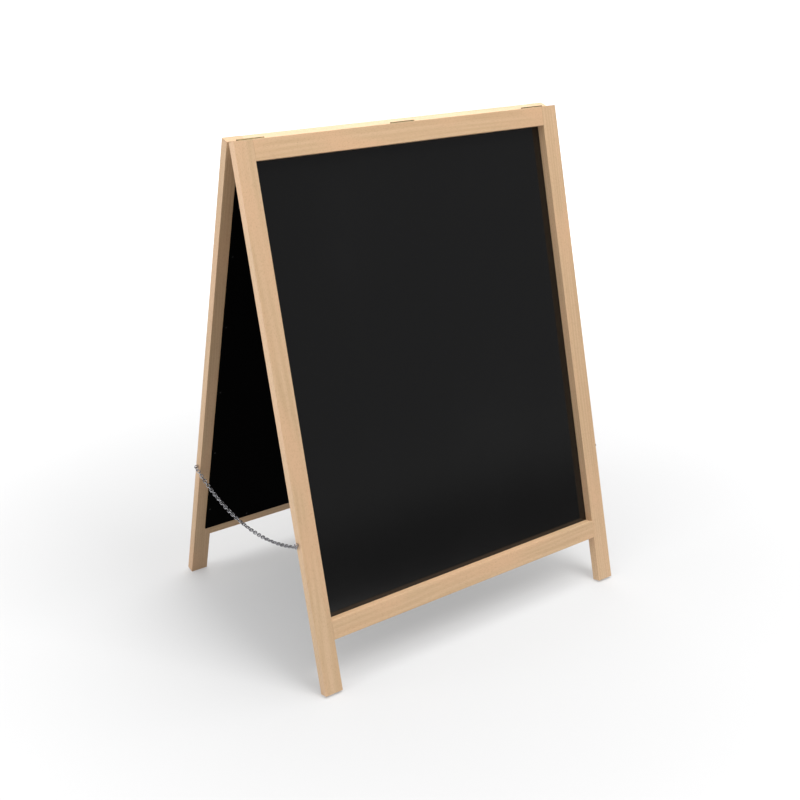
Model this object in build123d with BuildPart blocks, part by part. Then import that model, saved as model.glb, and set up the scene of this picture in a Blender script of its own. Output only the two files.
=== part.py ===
"""A folding A-frame chalkboard sign.

Two equal beech frames are hinged together along their top ends by three small brass butt hinges.
A thin chalkboard panel is pinned to the inner side of each frame, and a chain on each side,
hooked to screw eyes in the legs, stops the frames from sliding apart.
Millimetres and degrees. +Z is up, the front frame leans back towards +Y, and the origin is on
the floor, midway between the feet.
"""
import os
from math import asinh, atan, cos, radians, sin, sqrt

from build123d import *

os.makedirs("parts", exist_ok=True)

# the frames
board_width = 600
leg_length = 820
lean = 15  # of each frame, from the vertical
timber = 15  # thickness of every stile and rail
stile_width = 30
top_rail_height = 30.5
bottom_rail_height = 30
foot_length = 80  # leg below the bottom rail
arris = 0.7  # rounding of the long edges
frame_gap = 5  # between the frames' inner top edges

# the panels
panel_thickness = 2
panel_lap_side = 11
panel_lap_top = 12
panel_lap_bottom = 13

# fixings
fit = 0.04  # radial clearance of a pin, dowel or screw in its hole
dowel_radius = 3
dowel_length = 30
dowel_chamfer = 0.8
top_dowel_drops = (13.5, 23.5)  # from the frame's top end, clear of the hinge screws
bottom_dowel_offset = 8  # each way from the bottom rail's middle
panel_pin_radius = 0.6
panel_pin_length = 9
panel_pin_head_radius = 1.6
panel_pin_head_thickness = 0.6
panel_pin_margin = 30  # from the opening's corners to the nearest pin up the side
side_panel_pins = 6  # up each side
rail_panel_pins = (-200, -80, 80, 200)

# the butt hinges
hinge_places = (-264, 0, 264)
hinge_names = ("left", "middle", "right")
hinge_length = 43
knuckle_radius = 2.4
outer_knuckle = 13.5
knuckle_gap = 0.3
hinge_pin_radius = 1.1
leaf_thickness = 1.2
leaf_drop = 13  # from the hinge's axis to the leaf's lower edge
leaf_neck = 3.2  # where the leaf narrows to its own knuckles
leaf_corner = 1.5
screw_offset = 14  # of each leaf's two screws, from the hinge's middle
screw_drop = 7.6
screw_radius = 1.1
screw_head_radius = 2.2
screw_length = 9
screw_slot = (0.6, 3.4, 0.45)  # width, length, depth
hinge_pin_overhang = 0.5
hinge_pin_rounding = 0.4

# the screw eyes and the chains
eye_height = 237  # along the leg, from its foot
eye_stand_off = 3.8  # of the ring's centre, from the side of the leg
eye_ring_radius = 2.95
eye_shank_radius = 0.9
eye_shank_depth = 14
wire_radius = 0.75
link_pitch = 6.07
link_slack = 0.1  # between the wires of two links
link_width = 6.2
link_count = 55
# the last link of each stiff run of the chain; the runs turn on one another
chain_runs = (13, 26, 29, 42, 55)
link_roll = 10  # degrees about the chain, from each link to the next inside a run
most_roll = 40

axis_height = leg_length * cos(radians(lean))
inner = frame_gap / 2 * cos(radians(lean))  # the frames' inner faces, from the hinge axis
top = -frame_gap / 2 * sin(radians(lean))  # the frames' top ends, along the frame
stile_x = (board_width - stile_width) / 2
joint_x = board_width / 2 - stile_width
opening_top = top - top_rail_height
opening_bottom = top - leg_length + foot_length + bottom_rail_height
timber_middle = inner + timber / 2
standing = (Align.CENTER, Align.CENTER, Align.MIN)  # upwards from the working plane


def frame_plane(side):
    """A frame's plane at the hinge axis: Y up the frame, Z outwards. side is -1 front, 1 rear."""
    outwards = (0, side * cos(radians(lean)), sin(radians(lean)))
    return Plane(origin=(0, 0, axis_height), x_dir=(-side, 0, 0), z_dir=outwards)


def finish(builder, name):
    builder.part.label = name
    export_step(builder.part, f"parts/{name}.step")
    return builder.part


def dowel_places():
    rail_middle = opening_bottom - bottom_rail_height / 2
    heights = [top - drop for drop in top_dowel_drops]
    heights += [rail_middle + bottom_dowel_offset, rail_middle - bottom_dowel_offset]
    return [(x, y, timber_middle) for x in (-joint_x, joint_x) for y in heights]


def panel_pin_places():
    side = joint_x + panel_lap_side / 2
    lowest = opening_bottom + panel_pin_margin
    step = (opening_top - panel_pin_margin - lowest) / (side_panel_pins - 1)
    places = [(x, lowest + n * step) for x in (-side, side) for n in range(side_panel_pins)]
    upper = opening_top + panel_lap_top / 2
    lower = opening_bottom - panel_lap_bottom / 2
    places += [(x, y) for x in rail_panel_pins for y in (upper, lower)]
    return [(x, y, inner) for x, y in places]


def screw_places():
    return [
        (x + dx, -screw_drop, inner) for x in hinge_places for dx in (-screw_offset, screw_offset)
    ]


def fixing_holes():
    """The dowel, hinge-screw and panel-pin holes, cut from the timber being made."""
    with Locations(*dowel_places()):
        Cylinder(dowel_radius + fit, dowel_length + 1, rotation=(0, 90, 0), mode=Mode.SUBTRACT)
    with Locations(*screw_places()):
        Cylinder(screw_radius + fit, screw_length * 2 + 1, mode=Mode.SUBTRACT)
    with Locations(*panel_pin_places()):
        Cylinder(panel_pin_radius + fit, panel_pin_length * 2, mode=Mode.SUBTRACT)


def make_stile(name, plane, x):
    with BuildPart(plane) as stile:
        with Locations((x, top - leg_length / 2, timber_middle)):
            Box(stile_width, leg_length, timber)
        fillet(stile.edges().filter_by(Axis(plane.origin, plane.y_dir)), arris)
        fixing_holes()
        eye_x = board_width / 2 if x > 0 else -board_width / 2
        eye_hole = 2 * eye_shank_depth + 1
        with Locations((eye_x, top - leg_length + eye_height, timber_middle)):
            Cylinder(eye_shank_radius + fit, eye_hole, rotation=(0, 90, 0), mode=Mode.SUBTRACT)
    finish(stile, name)


def make_rail(name, plane, y_low, height):
    with BuildPart(plane) as rail:
        with Locations((0, y_low + height / 2, timber_middle)):
            Box(2 * joint_x, height, timber)
        fillet(rail.edges().filter_by(Axis.X), arris)
        fixing_holes()
    finish(rail, name)


def make_panel(name, plane):
    low = opening_bottom - panel_lap_bottom
    high = opening_top + panel_lap_top
    inner_side = inner - panel_thickness
    with BuildPart(plane) as panel:
        with Locations((0, (low + high) / 2, inner - panel_thickness / 2)):
            Box(2 * (joint_x + panel_lap_side), high - low, panel_thickness)
        with Locations(*panel_pin_places()):
            Cylinder(panel_pin_radius + fit, panel_thickness * 3, mode=Mode.SUBTRACT)
        with Locations(*[(x, y, inner_side) for x, y, _ in panel_pin_places()]):
            Cylinder(
                panel_pin_head_radius + fit, 2 * panel_pin_head_thickness, mode=Mode.SUBTRACT
            )
    finish(panel, name)


def make_panel_pins(name, plane):
    with BuildPart(plane) as pins:
        for x, y, _ in panel_pin_places():
            with Locations((x, y, inner - panel_thickness)):
                Cylinder(panel_pin_head_radius, panel_pin_head_thickness, align=standing)
                Cylinder(panel_pin_radius, panel_pin_length, align=standing)
    finish(pins, name)


def make_dowels(name, plane):
    with BuildPart(plane) as dowels:
        with Locations(*dowel_places()):
            Cylinder(dowel_radius, dowel_length, rotation=(0, 90, 0))
        chamfer(dowels.edges().filter_by(GeomType.CIRCLE), dowel_chamfer)
    finish(dowels, name)


def knuckle_spans(middle_knuckle):
    """The lengths along the axis, from the hinge's middle, that a leaf's own knuckles fill."""
    half = hinge_length / 2
    if middle_knuckle:
        reach = half - outer_knuckle - knuckle_gap
        return [(-reach, reach)]
    return [(-half, -half + outer_knuckle), (half - outer_knuckle, half)]


def make_leaf(name, plane, x, middle_knuckle):
    spans = knuckle_spans(middle_knuckle)
    plate_z = inner - leaf_thickness / 2
    with BuildPart(plane) as leaf:
        with Locations((x, -(leaf_neck + leaf_drop) / 2, plate_z)):
            Box(hinge_length, leaf_drop - leaf_neck, leaf_thickness)
        corners = leaf.edges().filter_by(Axis(plane.origin, plane.z_dir)).group_by(Axis.Z)[0]
        fillet(corners, leaf_corner)
        for start, end in spans:
            with Locations((x + (start + end) / 2, -leaf_neck / 2, plate_z)):
                Box(end - start, leaf_neck + 0.01, leaf_thickness)
            with Locations((x + (start + end) / 2, 0, 0)):
                Cylinder(knuckle_radius, end - start, rotation=(0, 90, 0))
        with Locations((x, 0, 0)):
            Cylinder(
                hinge_pin_radius + fit, hinge_length + 2, rotation=(0, 90, 0), mode=Mode.SUBTRACT
            )
        for dx in (-screw_offset, screw_offset):
            with Locations((x + dx, -screw_drop, inner - leaf_thickness)):
                Cone(
                    screw_head_radius + fit,
                    screw_radius + fit,
                    leaf_thickness,
                    align=standing,
                    mode=Mode.SUBTRACT,
                )
    finish(leaf, name)


def make_hinge_pin(name, x):
    with BuildPart(Plane(origin=(x, 0, axis_height))) as pin:
        Cylinder(hinge_pin_radius, hinge_length + 2 * hinge_pin_overhang, rotation=(0, 90, 0))
        fillet(pin.edges().filter_by(GeomType.CIRCLE), hinge_pin_rounding)
    finish(pin, name)


def make_hinge_screws(name, plane):
    slot_width, slot_length, slot_depth = screw_slot
    with BuildPart(plane) as screws:
        for x, y, _ in screw_places():
            with Locations((x, y, inner - leaf_thickness)):
                Cone(screw_head_radius, screw_radius, leaf_thickness - fit, align=standing)
                Cylinder(screw_radius, screw_length, align=standing)
                Box(slot_width, slot_length, slot_depth, align=standing, mode=Mode.SUBTRACT)
    finish(screws, name)


def make_eye(name, plane, x_side):
    """A screw eye: a ring standing up the leg, on a plain shank that screws into the leg's side."""
    ring_x = x_side * (board_width / 2 + eye_stand_off)
    shank_end = x_side * (board_width / 2 - eye_shank_depth)
    shank_start = ring_x - x_side * eye_ring_radius
    y = top - leg_length + eye_height
    with BuildPart(plane) as eye:
        with Locations((ring_x, y, timber_middle)):
            Torus(eye_ring_radius, wire_radius)
        with Locations(((shank_start + shank_end) / 2, y, timber_middle)):
            Cylinder(eye_shank_radius, abs(shank_start - shank_end), rotation=(0, 90, 0))
    finish(eye, name)


def frame_point(side, y, z):
    """World Y and Z of a point in a frame's own plane."""
    point = frame_plane(side).from_local_coords((0, y, z))
    return point.Y, point.Z


# each chain hangs between the lowest points of two screw eyes' rings
hook_y, hook_z = frame_point(1, top - leg_length + eye_height - eye_ring_radius, timber_middle)
chain_x = board_width / 2 + eye_stand_off
link_inner = link_pitch + link_slack
end_reach = link_inner / 2 - wire_radius - link_slack / 2
half_chain = (link_count - 1) / 2 * link_pitch + end_reach


def catenary_scale(half_span, half_length):
    """The catenary's scale a, where half_span = a asinh(half_length / a), by bisection."""
    low, high = half_span / 10, half_span * 100
    for _ in range(80):
        middle = (low + high) / 2
        if middle * asinh(half_length / middle) < half_span:
            low = middle
        else:
            high = middle
    return (low + high) / 2


scale = catenary_scale(hook_y, half_chain)
sag = sqrt(scale**2 + half_chain**2) - scale


def link_plane(number, x):
    """A link's plane, X along the chain and Z across the link. Link 1 hooks the front eye."""
    along = (number - (link_count + 1) / 2) * link_pitch
    slope = atan(along / scale)
    y = scale * asinh(along / scale)
    z = hook_z - sag + sqrt(scale**2 + along**2) - scale
    first = max((last + 1 for last in chain_runs if last < number), default=1)
    last = min(last for last in chain_runs if last >= number)
    roll = min(link_roll * min(number - first, last - number), most_roll)
    roll = radians(roll if x < 0 else -roll)
    level = Vector(1, 0, 0)
    upright = Vector(0, -sin(slope), cos(slope))
    if number % 2:
        across = level * cos(roll) + upright * sin(roll)
    else:
        across = upright * cos(roll) - level * sin(roll)
    return Plane(origin=(x, y, z), x_dir=(0, cos(slope), sin(slope)), z_dir=across)


def make_link():
    """One oval link of round wire, lying in the XY plane with its length along X."""
    end_radius = link_width / 2 - wire_radius
    half_straight = link_inner / 2 + wire_radius - end_radius
    with BuildPart() as link:
        with BuildLine() as loop:
            Line((-half_straight, -end_radius), (half_straight, -end_radius))
            CenterArc((half_straight, 0), end_radius, -90, 180)
            Line((half_straight, end_radius), (-half_straight, end_radius))
            CenterArc((-half_straight, 0), end_radius, 90, 180)
        with BuildSketch(Plane(origin=(-half_straight, -end_radius, 0), z_dir=(1, 0, 0))):
            Circle(wire_radius)
        sweep(path=loop.wires()[0])
    return link.part


def make_chain(side_name, x):
    link = make_link()
    first = 1
    for run, last in enumerate(chain_runs, start=1):
        with BuildPart() as links:
            with Locations(*[link_plane(n, x).location for n in range(first, last + 1)]):
                add(link)
        finish(links, f"{side_name}_chain_{run}")
        first = last + 1


for frame_name, side in (("front", -1), ("rear", 1)):
    plane = frame_plane(side)
    for side_name, world_x in (("left", -stile_x), ("right", stile_x)):
        local_x = -side * world_x
        make_stile(f"{frame_name}_{side_name}_stile", plane, local_x)
        make_eye(f"{frame_name}_{side_name}_screw_eye", plane, 1 if local_x > 0 else -1)
    make_rail(f"{frame_name}_top_rail", plane, opening_top, top_rail_height)
    low = opening_bottom - bottom_rail_height
    make_rail(f"{frame_name}_bottom_rail", plane, low, bottom_rail_height)
    make_panel(f"{frame_name}_chalkboard", plane)
    make_panel_pins(f"{frame_name}_panel_pins", plane)
    make_dowels(f"{frame_name}_dowels", plane)
    make_hinge_screws(f"{frame_name}_hinge_screws", plane)
    for hinge_name, world_x in zip(hinge_names, hinge_places):
        make_leaf(f"{hinge_name}_hinge_{frame_name}_leaf", plane, -side * world_x, side == 1)

for hinge_name, world_x in zip(hinge_names, hinge_places):
    make_hinge_pin(f"{hinge_name}_hinge_pin", world_x)

for side_name, world_x in (("left", -chain_x), ("right", chain_x)):
    make_chain(side_name, world_x)

print(f"hinge axis at {axis_height:.2f}, chain {2 * half_chain:.1f} long between its eyes")
print(f"sag {sag:.1f}, hooks at Y {hook_y:.2f}, Z {hook_z:.2f}")
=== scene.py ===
"""Looks for the folding A-frame chalkboard sign: beech, black panels, brass hinges, steel chains."""
import math

import bpy
from mathutils import Matrix, Vector


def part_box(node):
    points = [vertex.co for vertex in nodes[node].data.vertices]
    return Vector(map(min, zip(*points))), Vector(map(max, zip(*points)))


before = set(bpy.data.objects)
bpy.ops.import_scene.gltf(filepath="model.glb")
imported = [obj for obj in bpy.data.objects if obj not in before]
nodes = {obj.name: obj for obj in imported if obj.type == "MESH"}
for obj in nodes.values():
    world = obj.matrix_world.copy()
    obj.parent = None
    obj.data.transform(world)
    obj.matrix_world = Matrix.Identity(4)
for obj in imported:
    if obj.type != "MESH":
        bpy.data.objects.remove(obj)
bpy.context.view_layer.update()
scene = bpy.context.scene

LEAN = math.radians(15)  # of each frame, from the vertical

CAMERA_PLACE = Vector((-1.04724, -1.42259, 1.06847))
CAMERA_FORWARD = Vector((0.531240, 0.759094, -0.376245)).normalized()
CAMERA_LENS = 51.38  # mm, on a sensor 36 mm wide
CAMERA_SHIFT = (0.0318, -0.0120)

GROWTH_RING = 0.0042  # metres between the beech's growth rings

# the side of the studio that the front panel mirrors is kept dimmer: a dimmer sky there, and painted
# shade on the floor
DIM_SIDE = Vector((0.531, -0.846, 0)).normalized()
DIM_START = 0.72  # metres towards it, clear of the sign
DIM_BAND = 0.3  # the narrowest width over which the floor fades
BEHIND = (0.51, 0.76, 0.4)  # the way from the camera over the sign


# ---- camera ----

def make_camera():
    data = bpy.data.cameras.new("camera")
    data.sensor_width = 36
    data.lens = CAMERA_LENS
    data.shift_x, data.shift_y = CAMERA_SHIFT
    data.clip_start, data.clip_end = 0.05, 60
    camera = bpy.data.objects.new("camera", data)
    right = CAMERA_FORWARD.cross(Vector((0, 0, 1))).normalized()
    up = right.cross(CAMERA_FORWARD)
    turn = Matrix((right, up, -CAMERA_FORWARD)).transposed().to_4x4()
    camera.matrix_world = Matrix.Translation(CAMERA_PLACE) @ turn
    scene.collection.objects.link(camera)
    scene.camera = camera


# ---- node helpers ----

def new_material(name):
    material = bpy.data.materials.new(name)
    material.use_nodes = True
    tree = material.node_tree
    tree.nodes.clear()
    output = tree.nodes.new("ShaderNodeOutputMaterial")
    shader = tree.nodes.new("ShaderNodeBsdfPrincipled")
    tree.links.new(shader.outputs[0], output.inputs[0])
    return material, tree, shader


def add(tree, kind, inputs=None, out=0, **settings):
    """A node with its settings and inputs; returns one of its output sockets."""
    node = tree.nodes.new(kind)
    for key, value in settings.items():
        setattr(node, key, value)
    for key, value in (inputs or {}).items():
        if isinstance(value, bpy.types.NodeSocket):
            tree.links.new(value, node.inputs[key])
        else:
            node.inputs[key].default_value = value
    return node.outputs[out]


def maths(tree, operation, a, b=0.0, c=0.0):
    return add(tree, "ShaderNodeMath", {0: a, 1: b, 2: c}, operation=operation)


def vector_maths(tree, operation, a, b=None, out=0):
    inputs = {0: a} if b is None else {0: a, 1: b}
    return add(tree, "ShaderNodeVectorMath", inputs, out=out, operation=operation)


def scaled(tree, vector, amounts):
    return vector_maths(tree, "MULTIPLY", vector, amounts)


def length(tree, vector):
    return vector_maths(tree, "LENGTH", vector, out=1)


def dot(tree, vector, direction):
    return vector_maths(tree, "DOT_PRODUCT", vector, direction, out=1)


def split(tree, vector):
    node = tree.nodes.new("ShaderNodeSeparateXYZ")
    tree.links.new(vector, node.inputs[0])
    return node.outputs


def object_place(tree):
    return add(tree, "ShaderNodeTexCoord", out=3)


def noise(tree, vector, scale, detail=2.0, roughness=0.5):
    return add(
        tree, "ShaderNodeTexNoise",
        {"Vector": vector, "Scale": scale, "Detail": detail, "Roughness": roughness},
    )


def ramp(tree, value, low, high):
    """0 at low and 1 at high, smoothly."""
    return add(
        tree, "ShaderNodeMapRange", {"Value": value, "From Min": low, "From Max": high},
        interpolation_type="SMOOTHSTEP",
    )


def mixed(tree, factor, a, b, blend="MIX"):
    return add(
        tree, "ShaderNodeMix", {0: factor, 6: a, 7: b}, out=2, data_type="RGBA", blend_type=blend
    )


def bump(tree, shader, height, strength, distance):
    relief = {"Height": height, "Strength": strength, "Distance": distance}
    tree.links.new(add(tree, "ShaderNodeBump", relief), shader.inputs["Normal"])


def colour(r, g, b):
    return (r, g, b, 1.0)


def grey(tone):
    return colour(tone, tone, tone)


# ---- beech ----

PALE_BEECH = colour(0.635, 0.446, 0.275)
DEEP_BEECH = colour(0.540, 0.359, 0.207)
RUDDY_BEECH = colour(0.635, 0.414, 0.249)
FLECK_BROWN = colour(0.33, 0.185, 0.095)
END_BROWN = colour(0.4, 0.25, 0.14)


def beech(name, tilt, upright, pith, offset, tint_and_painted_shade):
    """Straight-grained beech, its grain up the frame where upright is true, and else along X.

    tilt is the frame's own lean, pith is where the tree's middle lies across the board and in
    depth, and offset moves the figure so that no two boards match.
    """
    material, tree, shader = new_material(name)
    place = object_place(tree)
    normal = add(tree, "ShaderNodeTexCoord", out=1)
    turned = add(tree, "ShaderNodeMapping", {"Vector": place, "Rotation": (tilt, 0, 0)})
    facing = add(
        tree, "ShaderNodeMapping", {"Vector": normal, "Rotation": (tilt, 0, 0)},
        vector_type="VECTOR",
    )

    def ordered(vector):
        """The parts of a vector across the board, through it and along its grain."""
        x, depth, up = split(tree, vector)
        return (x, depth, up) if upright else (up, depth, x)

    across, depth, along = ordered(turned)
    grain = add(tree, "ShaderNodeCombineXYZ", {0: across, 1: depth, 2: along})
    grain = vector_maths(tree, "ADD", grain, offset)

    # growth rings round the pith, wandering a little along the board
    wander = noise(tree, scaled(tree, grain, (14, 14, 1.6)), 1.0, 2.0)
    pith_line = (pith[0] + offset[0], pith[1] + offset[1], 0)
    from_pith = vector_maths(tree, "SUBTRACT", grain, pith_line)
    radius = length(tree, scaled(tree, from_pith, (1, 1, 0)))
    radius = maths(tree, "MULTIPLY_ADD", wander, 0.022, radius)
    rings = maths(tree, "SINE", maths(tree, "MULTIPLY", radius, 2 * math.pi / GROWTH_RING))
    rings = maths(tree, "MULTIPLY_ADD", rings, 0.5, 0.5)

    fibres = noise(tree, scaled(tree, grain, (1100, 1100, 9)), 1.0, 3.0, 0.6)
    streaks = noise(tree, scaled(tree, grain, (170, 170, 3.5)), 1.0, 2.0)
    patches = noise(tree, scaled(tree, grain, (24, 24, 7)), 1.0, 1.0)
    cells = {"Vector": scaled(tree, grain, (1150, 820, 230)), "Scale": 1.0}
    flecks = ramp(tree, add(tree, "ShaderNodeTexVoronoi", cells), 0.34, 0.2)

    shade = maths(tree, "MULTIPLY", rings, 0.22)
    shade = maths(tree, "MULTIPLY_ADD", fibres, 0.34, shade)
    shade = maths(tree, "MULTIPLY_ADD", streaks, 0.5, shade)
    shade = ramp(tree, shade, 0.2, 0.85)
    timber = mixed(tree, shade, PALE_BEECH, DEEP_BEECH)
    timber = mixed(tree, ramp(tree, patches, 0.4, 0.7), timber, RUDDY_BEECH)
    timber = mixed(tree, maths(tree, "MULTIPLY", flecks, 0.42), timber, FLECK_BROWN)
    # the tint: a board's own tone, and painted shade on the rear left stile and rear bottom rail
    timber = mixed(tree, 1.0, timber, colour(*tint_and_painted_shade), "MULTIPLY")

    # the ends of the fibres drink more lacquer and show darker
    end = maths(tree, "ABSOLUTE", ordered(facing)[2])
    end = ramp(tree, end, 0.75, 0.95)
    timber = mixed(tree, maths(tree, "MULTIPLY", end, 0.15), timber, END_BROWN)

    tree.links.new(timber, shader.inputs["Base Color"])
    rough = maths(tree, "MULTIPLY_ADD", fibres, 0.16, 0.36)
    rough = maths(tree, "MULTIPLY_ADD", end, 0.15, rough)
    tree.links.new(rough, shader.inputs["Roughness"])
    shader.inputs["Specular IOR Level"].default_value = 0.35
    shader.inputs["Coat Weight"].default_value = 0.06
    shader.inputs["Coat Roughness"].default_value = 0.3
    bump(tree, shader, maths(tree, "MULTIPLY_ADD", flecks, -0.8, fibres), 0.22, 0.00025)
    return material


# ---- chalkboard ----

def chalkboard(name, black, dusty, least_rough, gloss):
    """Black painted hardboard with the faintest rubbed-in chalk."""
    material, tree, shader = new_material(name)
    place = object_place(tree)
    wiped = noise(tree, scaled(tree, place, (5, 9, 3)), 1.0, 5.0, 0.55)
    grit = noise(tree, place, 1400, 2.0)
    tone = mixed(tree, ramp(tree, wiped, 0.45, 0.85), grey(black), grey(dusty))
    tree.links.new(tone, shader.inputs["Base Color"])
    rough = maths(tree, "MULTIPLY_ADD", wiped, 0.05, least_rough)
    rough = maths(tree, "MULTIPLY_ADD", grit, 0.03, rough)
    tree.links.new(rough, shader.inputs["Roughness"])
    shader.inputs["Specular IOR Level"].default_value = gloss
    bump(tree, shader, grit, 0.05, 0.00005)
    return material


# ---- metals ----

def metal(name, bright, dull, least_rough, mark_scale, stretch=(1, 1, 1)):
    """A metal whose dull film gathers in patches, with fine rubbing marks."""
    material, tree, shader = new_material(name)
    place = object_place(tree)
    film = ramp(tree, noise(tree, place, 160, 4.0, 0.6), 0.35, 0.75)
    marks = noise(tree, scaled(tree, place, stretch), mark_scale, 3.0, 0.6)
    tone = mixed(tree, film, colour(*bright), colour(*dull))
    tone = mixed(tree, maths(tree, "MULTIPLY", marks, 0.25), tone, colour(*dull))
    tree.links.new(tone, shader.inputs["Base Color"])
    shader.inputs["Metallic"].default_value = 1.0
    rough = maths(tree, "MULTIPLY_ADD", marks, 0.16, least_rough)
    rough = maths(tree, "MULTIPLY_ADD", film, 0.1, rough)
    tree.links.new(rough, shader.inputs["Roughness"])
    bump(tree, shader, marks, 0.1, 0.00008)
    return material


# ---- what each piece is made of ----

# every board has its own piece of timber: where its pith lies from the board's middle in
# metres, the shift of its figure, and its tint; the darker tints of the rear left stile and of
# the rear bottom rail are painted shade
BOARDS = {
    "front_left_stile": ((0.02, 0.055), (0.31, 0.11, 0.7), (1.0, 1.0, 1.0)),
    "front_right_stile": ((-0.06, 0.04), (0.57, 0.23, 1.9), (1.04, 1.03, 1.03)),
    "front_top_rail": ((0.03, 0.07), (0.83, 0.35, 3.1), (1.0, 0.985, 0.97)),
    "front_bottom_rail": ((-0.03, 0.05), (1.09, 0.47, 4.3), (1.01, 1.0, 0.985)),
    # painted shade: a darker tint for this board, which is seen shaded inside the sign
    "rear_left_stile": ((0.07, 0.03), (1.37, 0.59, 5.9), (0.87, 0.85, 0.82)),
    "rear_right_stile": ((-0.02, 0.06), (1.63, 0.71, 7.3), (1.01, 1.01, 1.0)),
    "rear_top_rail": ((0.01, 0.08), (1.91, 0.83, 8.7), (1.0, 1.0, 0.99)),
    # painted shade: a darker tint for this board, which is seen shaded inside the sign
    "rear_bottom_rail": ((-0.05, 0.05), (2.19, 0.97, 9.9), (0.89, 0.87, 0.84)),
}


def give(material, *names):
    for name in names:
        slots = nodes[name].data.materials
        slots.clear()
        slots.append(material)


def tilt_of(name):
    return LEAN if name.startswith("front") else -LEAN


def give_timber():
    for board, (pith, offset, tint_and_painted_shade) in BOARDS.items():
        tilt = tilt_of(board)
        middle = sum(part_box(board), Vector()) / 2
        x, depth, up = Matrix.Rotation(tilt, 3, "X") @ middle
        upright = board.endswith("stile")
        across = x if upright else up
        pith = (across + pith[0], depth + pith[1])
        give(beech(f"beech_{board}", tilt, upright, pith, offset, tint_and_painted_shade), board)
    for dowels in ("front_dowels", "rear_dowels"):
        tilt, offset, tint_and_painted_shade = tilt_of(dowels), (0.1, 0.2, 0.3), (0.95, 0.95, 0.95)
        give(beech(f"beech_{dowels}", tilt, False, (0, 0), offset, tint_and_painted_shade), dowels)


def give_panels():
    """Each panel is lacquered outside and has a matt back, which shows from inside the sign; the
    back's darker black is painted shade.
    """
    outside = chalkboard("chalkboard_face", 0.0028, 0.0046, 0.1, 0.6)
    # the back: a real matt finish, and a darker black than the face as painted shade
    inside = chalkboard("chalkboard_back", 0.0004, 0.0008, 0.75, 0.02)
    for panel, outwards in (("front_chalkboard", -1), ("rear_chalkboard", 1)):
        give(outside, panel)
        nodes[panel].data.materials.append(inside)
        for face in nodes[panel].data.polygons:
            face.material_index = 0 if face.normal.y * outwards > 0.5 else 1


def give_metals():
    black_pin = metal("pin_black", (0.03, 0.03, 0.03), (0.015, 0.015, 0.015), 0.35, 600)
    brass = metal("brass", (0.18, 0.14, 0.062), (0.085, 0.067, 0.03), 0.34, 300, (0.15, 1, 1))
    screw_brass = metal("screw_brass", (0.34, 0.26, 0.12), (0.17, 0.13, 0.06), 0.3, 500)
    eye_steel = metal("eye_steel", (0.5, 0.49, 0.52), (0.2, 0.2, 0.22), 0.12, 420)
    chain_steel = metal("chain_steel", (0.46, 0.46, 0.48), (0.13, 0.13, 0.14), 0.08, 520)
    give(black_pin, "front_panel_pins", "rear_panel_pins")
    for name in nodes:
        if "_hinge_" in name:
            give(screw_brass if name.endswith("screws") else brass, name)
        elif "screw_eye" in name:
            give(eye_steel, name)
        elif "_chain_" in name:
            give(chain_steel, name)


# ---- studio ----

def make_floor():
    bpy.ops.mesh.primitive_circle_add(vertices=96, radius=50, fill_type="NGON")
    floor = bpy.context.object
    floor.name = "floor"
    material, tree, shader = new_material("floor")
    place = object_place(tree)
    away = dot(tree, place, DIM_SIDE)
    distance = length(tree, place)
    # the dim side starts clear of the sign, and fades in over a wider band further out
    band = maths(tree, "MULTIPLY_ADD", distance, 0.5, -0.3)
    band = maths(tree, "MAXIMUM", band, DIM_BAND)
    past = maths(tree, "SUBTRACT", away, DIM_START)
    dim = ramp(tree, maths(tree, "DIVIDE", past, band), 0.0, 1.0)
    # painted shade: the floor's colour turns dark on the dim side, for the front panel to mirror
    tree.links.new(mixed(tree, dim, grey(0.38), grey(0.04)), shader.inputs["Base Color"])
    # the floor glows as painted light: more with distance, as one lit evenly to its far end, and
    # near the sign enough to lift the sign's shadow on it
    lit = maths(tree, "MULTIPLY_ADD", ramp(tree, distance, 0.4, 2.4), 0.6, 0.32)
    unlit = maths(tree, "MULTIPLY_ADD", ramp(tree, distance, 2.0, 7.0), 0.2, 0.02)
    glow = add(tree, "ShaderNodeMix", {0: dim, 2: lit, 3: unlit})
    tree.links.new(glow, shader.inputs["Emission Strength"])
    shader.inputs["Emission Color"].default_value = grey(1)
    shader.inputs["Roughness"].default_value = 0.85
    shader.inputs["Specular IOR Level"].default_value = 0.1
    floor.data.materials.append(material)


def make_world():
    world = bpy.data.worlds.new("studio")
    scene.world = world
    world.use_nodes = True
    tree = world.node_tree
    tree.nodes.clear()
    way = add(tree, "ShaderNodeTexCoord", out=0)
    low = ramp(tree, split(tree, way)[2], 0.4, 0.02)
    tone = mixed(tree, low, colour(0.34, 0.34, 0.35), grey(0.36))
    dim = ramp(tree, dot(tree, way, DIM_SIDE), 0.1, 0.7)
    tone = mixed(tree, dim, tone, colour(0.22, 0.22, 0.225))
    # a bright screen behind the sign, which its top edges catch
    screen = ramp(tree, dot(tree, way, BEHIND), 0.7, 0.95)
    tone = mixed(tree, screen, tone, grey(1.5))
    background = add(tree, "ShaderNodeBackground", {"Color": tone, "Strength": 1.0})
    output = tree.nodes.new("ShaderNodeOutputWorld")
    tree.links.new(background, output.inputs[0])


def area_light(name, place, target, size, watts):
    data = bpy.data.lights.new(name, "AREA")
    data.size = size
    data.energy = watts
    light = bpy.data.objects.new(name, data)
    light.location = place
    light.rotation_euler = (Vector(target) - Vector(place)).to_track_quat("-Z", "Y").to_euler()
    scene.collection.objects.link(light)


def make_lights():
    area_light("front", (0.9, -2.3, 4.1), (0, 0, 0.4), 2.0, 115)
    area_light("side", (-3.4, 0.4, 1.5), (0, 0, 0.4), 2.8, 56)
    area_light("top", (0.1, -0.1, 3.6), (0, 0, 0.5), 2.6, 108)


make_camera()
give_timber()
give_panels()
give_metals()
make_floor()
make_world()
make_lights()

scene.view_settings.view_transform = "Standard"
scene.view_settings.look = "None"
